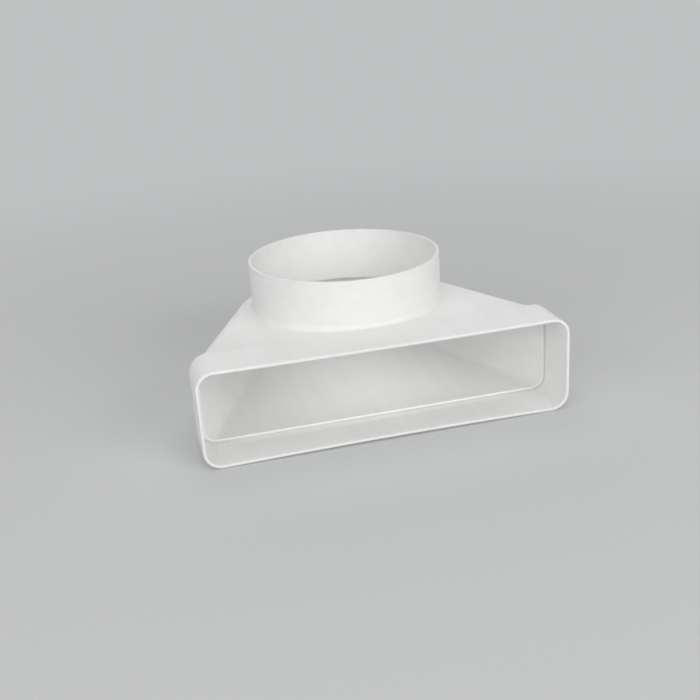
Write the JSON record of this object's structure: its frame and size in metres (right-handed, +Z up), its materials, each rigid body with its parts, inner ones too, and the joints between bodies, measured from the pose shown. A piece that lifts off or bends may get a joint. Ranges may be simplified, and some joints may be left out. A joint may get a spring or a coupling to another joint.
{
  "type": "flat duct elbow",
  "caption": "Moulded duct elbow that turns air from a flat duct into a round one: wide rounded socket in front, flat body tapering to a round back, thin round spigot on top.",
  "frame": {"origin": "middle of the footprint, on the surface that the elbow stands on", "axes": "+X across the width, -Y out of the flat socket's mouth, +Z up out of the round spigot"},
  "size_m": [0.225, 0.175, 0.0884],
  "materials": {
    "white_plastic": "satin"
  },
  "bodies": {
    "root": {"elbow": "white_plastic"}
  },
  "joints": []
}
